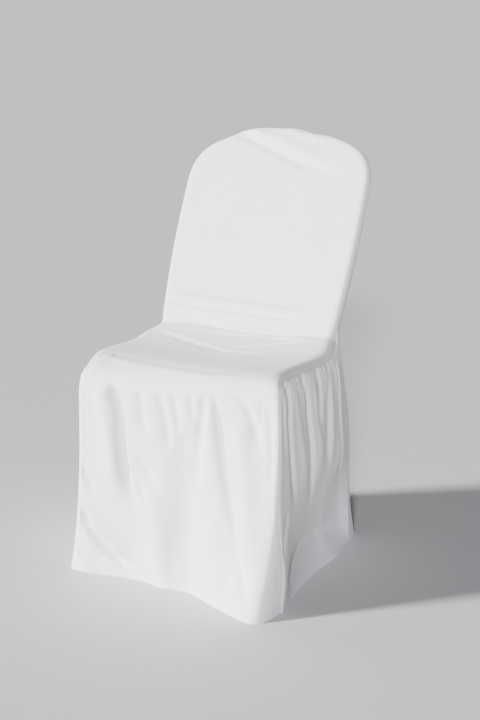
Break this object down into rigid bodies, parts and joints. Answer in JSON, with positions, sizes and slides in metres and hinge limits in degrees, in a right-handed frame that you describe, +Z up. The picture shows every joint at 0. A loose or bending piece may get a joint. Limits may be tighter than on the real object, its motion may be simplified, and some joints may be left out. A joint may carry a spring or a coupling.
{
  "type": "chair cover",
  "caption": "Fitted white fabric cover for a round-topped stacking chair: pocket over the back, smooth seat, and a skirt that falls to the floor on all sides.",
  "frame": {"origin": "middle of the cover's box in X and Y, on the floor under its hem", "axes": "+Z up; the seat's front faces -Y; +X is the viewer's right when facing the front"},
  "size_m": [0.5079, 0.6295, 0.8801],
  "materials": {
    "main_panel_cloth": "matt",
    "back_panel_cloth": "matt",
    "side_skirt_right_cloth": "matt",
    "side_skirt_left_cloth": "matt"
  },
  "bodies": {
    "root": {"main_panel": "main_panel_cloth", "back_panel": "back_panel_cloth", "side_skirt_right": "side_skirt_right_cloth", "side_skirt_left": "side_skirt_left_cloth"}
  },
  "joints": []
}
